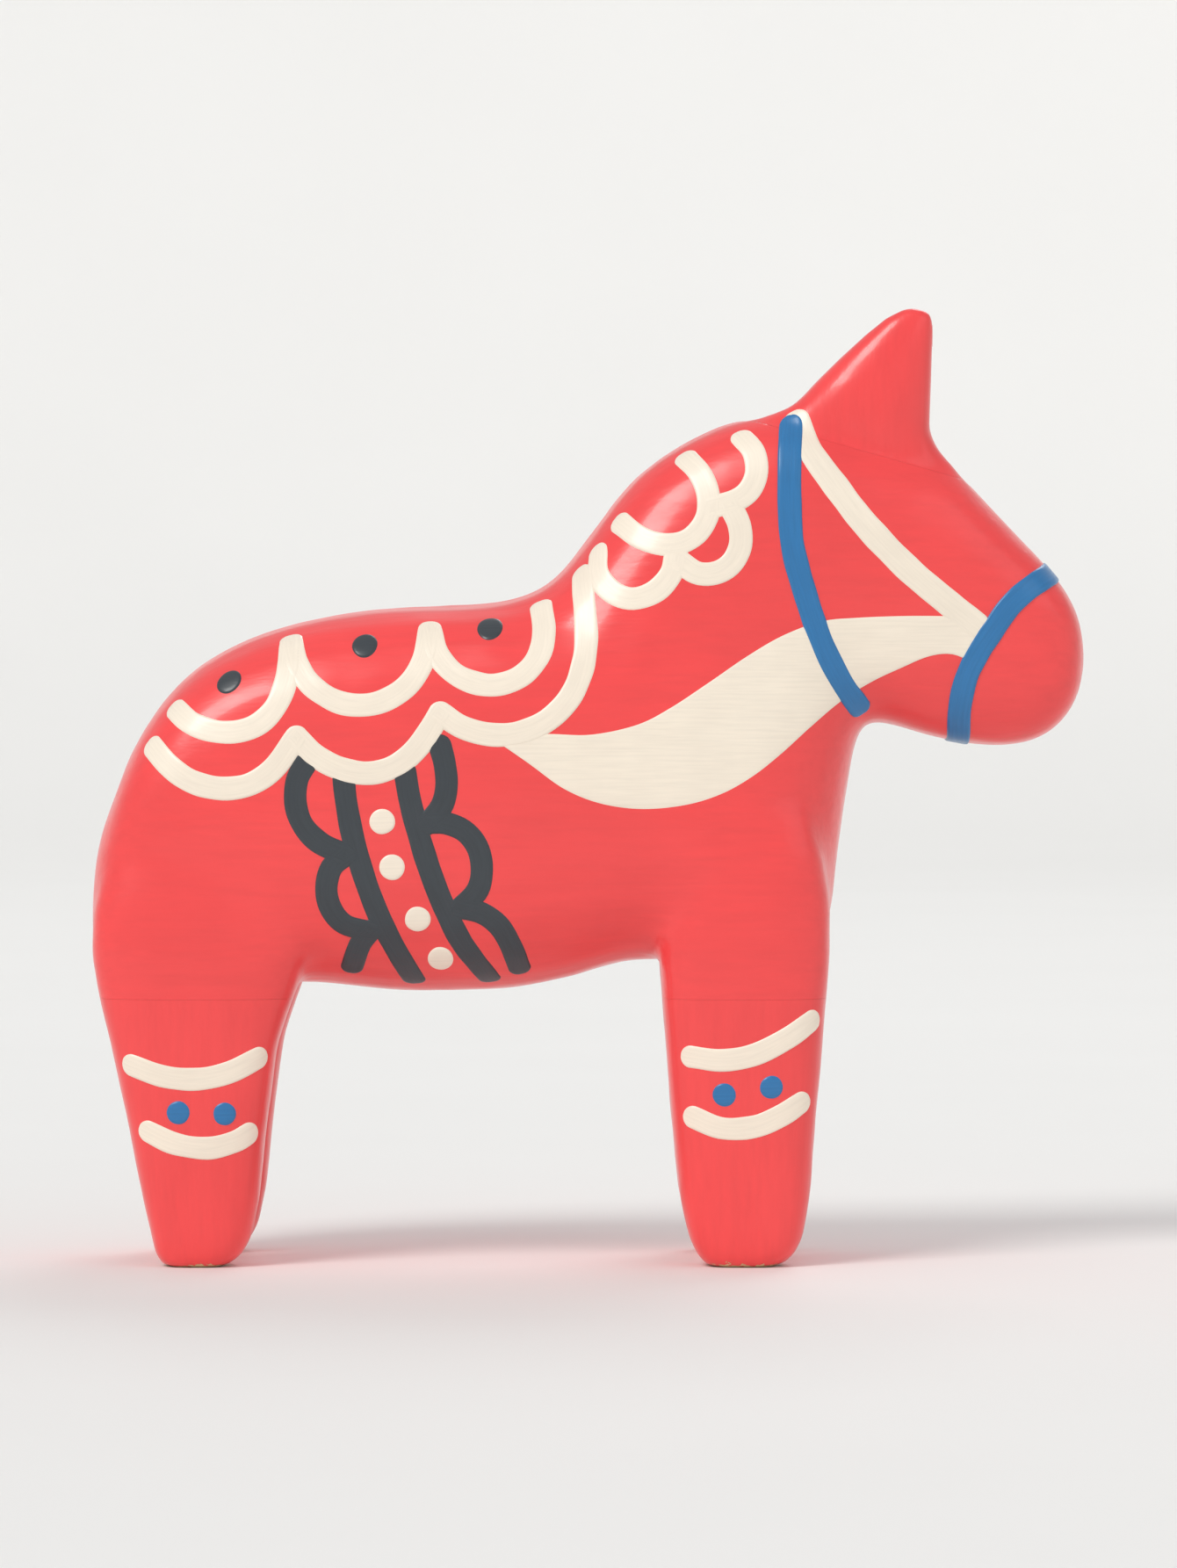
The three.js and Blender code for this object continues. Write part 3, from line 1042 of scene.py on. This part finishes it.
# The grain's pattern is drawn out along the wood by a small scale in that direction.
GRAIN_ALONG_X = (0.12, 1, 1)
GRAIN_ALONG_Z = (1, 1, 0.12)


def pine_wood(name, grain):
    """Bare pine: light early wood, darker late wood, and fine pores along the grain."""
    n = Nodes(name)
    rings = n.noise(n.coords(tuple(g * 55 for g in grain)), scale=1, detail=2)
    lines = n.maths("FRACT", n.maths("MULTIPLY", rings, 7.0))
    late = n.ramp(lines, (0.0, PINE), (0.62, shade(PINE, 0.92)), (0.86, PINE_DARK), (1.0, PINE))
    fibre = n.noise(n.coords(tuple(g * 900 for g in grain)), scale=1, detail=4)
    colour = n.mix(n.spread(fibre, 0.0, 0.35), late, shade(PINE_DARK, 0.9))
    n.set(Base_Color=colour, Roughness=n.spread(fibre, 0.55, 0.8))
    n.set(Normal=n.bump(fibre, 0.12 * MM, 0.5))
    return n.material


def painted_wood(name, grain):
    """Red enamel brushed over carved pine, which shows on the soles and the hooves' worn edges."""
    n = Nodes(name)
    patches = n.noise(n.coords((14, 14, 14)), detail=3)
    fine = n.noise(n.coords(tuple(g * 260 for g in grain)), detail=5, rough=0.6)
    brush = n.noise(n.coords(tuple(g * 130 for g in grain)), detail=4, rough=0.55)
    red = n.ramp(patches, (0.3, shade(CORAL, 0.94)), (0.7, shade(CORAL, 1.04)))
    red = n.mix(n.spread(brush, 0.0, 0.22, 0.45, 0.75), red, shade(CORAL, 0.82))
    red = n.mix(n.spread(fine, 0.0, 0.2, 0.35, 0.7), red, shade(CORAL, 0.8))

    # Wear: chips along the lowest edges, and a bare sole.
    place = n.add("ShaderNodeSeparateXYZ")
    n.link(n.coords((1, 1, 1)), place.inputs[0])
    chips = n.noise(n.coords((170, 170, 170)), detail=5, rough=0.7)
    low = n.spread(place.outputs["Z"], 0.5, 0.0, 0.0, 9 * MM)
    worn = n.spread(n.maths("ADD", chips, low), 0.0, 1.0, 0.945, 0.97)
    sole = n.spread(place.outputs["Z"], 1.0, 0.0, 0.25 * MM, 0.6 * MM)
    bare = n.maths("MAXIMUM", worn, sole)
    wood = n.ramp(fine, (0.35, shade(PINE, 0.8)), (0.6, shade(PINE, 1.1)))
    n.set(Base_Color=n.mix(bare, red, wood))

    # Gloss, and relief from the knife, the grain, the paint's edges and the brush.
    gloss = n.spread(brush, 0.24, 0.4)
    n.set(Roughness=n.maths("ADD", gloss, n.maths("MULTIPLY", bare, 0.35)))
    n.set(Specular_IOR_Level=0.5, Coat_Weight=0.25, Coat_Roughness=0.12)
    knife = n.add("ShaderNodeTexVoronoi", feature="SMOOTH_F1")
    knife.inputs["Scale"].default_value = 1.0
    knife.inputs["Smoothness"].default_value = 0.8
    n.link(n.coords(tuple(48 * math.sqrt(g) for g in grain)), knife.inputs["Vector"])
    facets = n.bump(knife.outputs["Distance"], 1.1 * MM, 0.5)
    grain_lines = n.bump(fine, 0.14 * MM, 0.7, under=facets)
    edge = n.bump(n.maths("SUBTRACT", 1.0, bare), 0.25 * MM, 0.8, under=grain_lines)
    n.set(Normal=n.bump(brush, 0.22 * MM, 0.6, under=edge))
    return n.material


def brushed_paint(name, colour, darker):
    """Thick enamel drawn on with a round brush: streaks run along each stroke."""
    n = Nodes(name)
    streaks = n.noise(n.coords((45, 950, 1), uv="brush"), detail=4, rough=0.55)
    patches = n.noise(n.coords((60, 60, 60)), detail=2)
    base = n.mix(n.spread(streaks, 0.0, 0.55, 0.4, 0.75), colour, darker)
    base = n.mix(n.spread(patches, 0.0, 0.3, 0.35, 0.8), base, darker)
    n.set(Base_Color=base, Roughness=n.spread(streaks, 0.3, 0.45))
    n.set(Specular_IOR_Level=0.5, Coat_Weight=0.2, Coat_Roughness=0.15)
    n.set(Normal=n.bump(streaks, 0.09 * MM, 0.7))
    return n.material


# ---- Floor, lights and camera ----


FLOOR_RADIUS = 4.6
WALL_BEND = 2.4  # the radius of the curve from the floor up to the wall
BEND_STEPS = 12
STUDIO_SIDES = 96
FLOOR_COLOURS = ((0.845, 0.84, 0.825), (0.855, 0.85, 0.835))


def studio():
    """A pale floor that rises into a round wall far off, so that every view has the same ground."""
    profile = [(1.0, 0), (2.5, 0), (FLOOR_RADIUS, 0)]
    for step in range(1, BEND_STEPS + 1):
        angle = math.pi / 2 * step / BEND_STEPS
        out, up = math.sin(angle), 1 - math.cos(angle)
        profile.append((FLOOR_RADIUS + WALL_BEND * out, WALL_BEND * up))
    sides = STUDIO_SIDES
    points = [(0, 0, 0)]
    for radius, z in profile:
        for i in range(sides):
            angle = 2 * math.pi * i / sides
            points.append((radius * math.cos(angle), radius * math.sin(angle), z))
    faces = [(0, 1 + i, 1 + (i + 1) % sides) for i in range(sides)]
    for ring in range(len(profile) - 1):
        for i in range(sides):
            here = 1 + ring * sides + i
            after = 1 + ring * sides + (i + 1) % sides
            faces.append((here, here + sides, after + sides, after))
    mesh = mesh_from("studio_floor", points, faces)
    mesh.shade_smooth()
    n = Nodes("studio_floor")
    haze = n.noise(n.coords((3, 3, 3)), detail=2)
    darker, lighter = FLOOR_COLOURS
    n.set(Base_Color=n.ramp(haze, (0.3, darker), (0.7, lighter)), Roughness=0.75)
    mesh.materials.append(n.material)
    new_object("studio_floor", mesh)


def sun(name, azimuth, elevation, strength, softness, colour=(1, 1, 1)):
    """A far, broad lamp; azimuth 0 faces the horse's right side, and it turns towards the head."""
    light = bpy.data.lights.new(name, "SUN")
    light.energy = strength
    light.angle = math.radians(softness)
    light.color = colour
    lamp = new_object(name, light)
    turn, lift = math.radians(azimuth), math.radians(elevation)
    level = math.cos(lift)
    towards = Vector((math.sin(turn) * level, -math.cos(turn) * level, math.sin(lift)))
    lamp.rotation_euler = towards.to_track_quat("Z", "Y").to_euler()


def lights():
    """Plain, soft studio light from the left, with a weak fill and some light from behind."""
    sun("key", -38, 44, 1.5, 24, (1.0, 0.985, 0.96))
    sun("fill", 48, 18, 0.35, 50, (0.97, 0.985, 1.0))
    sun("back", 160, 38, 0.6, 30)
    world = bpy.data.worlds.new("studio_air")
    world.use_nodes = True
    background = world.node_tree.nodes["Background"]
    background.inputs["Color"].default_value = (0.97, 0.98, 1.0, 1)
    background.inputs["Strength"].default_value = 0.5
    bpy.context.scene.world = world


def camera():
    """Square on to the horse's right side, far off with a long lens, for a flat side view."""
    low, high = cad_box
    lens, sensor = 200.0, 36.0
    fill = 0.84  # the share of the frame's width that the horse takes
    frame_width = (high.x - low.x) / fill
    frame_height = frame_width * FRAME_SHAPE
    distance = frame_height * lens / sensor
    elevation = math.radians(1.5)
    data = bpy.data.cameras.new("camera")
    data.lens = lens
    data.sensor_width = sensor
    data.clip_start, data.clip_end = 0.05, 50
    seen = new_object("camera", data)
    aim = (low + high) / 2
    seen.location = aim + Vector((0, -math.cos(elevation), math.sin(elevation))) * distance
    seen.rotation_euler = (aim - seen.location).to_track_quat("-Z", "Y").to_euler()
    bpy.context.scene.camera = seen
    bpy.context.scene.view_settings.view_transform = "Standard"


# ---- The scene ----

board_paint = painted_wood("coral_on_board", GRAIN_ALONG_X)
leg_paint = painted_wood("coral_on_leg", GRAIN_ALONG_Z)
pine = pine_wood("pine", GRAIN_ALONG_Z)
cream_paint = ("cream_paint", brushed_paint("cream", CREAM, shade(CREAM, 0.86)))
slate_paint = ("slate_paint", brushed_paint("slate", SLATE, shade(SLATE, 0.7)))
blue_paint = ("blue_paint", brushed_paint("blue", BLUE, shade(BLUE, 0.75)))

skin_mesh = carved_skin()
node_paint = {n: board_paint if "board" in n else leg_paint for n in WOOD_NODES}
wood_pieces(skin_mesh, node_paint, pine)
dowel_pieces(pine)
decoration(Surface(skin_mesh), cream_paint, slate_paint, blue_paint)

studio()
lights()
camera()
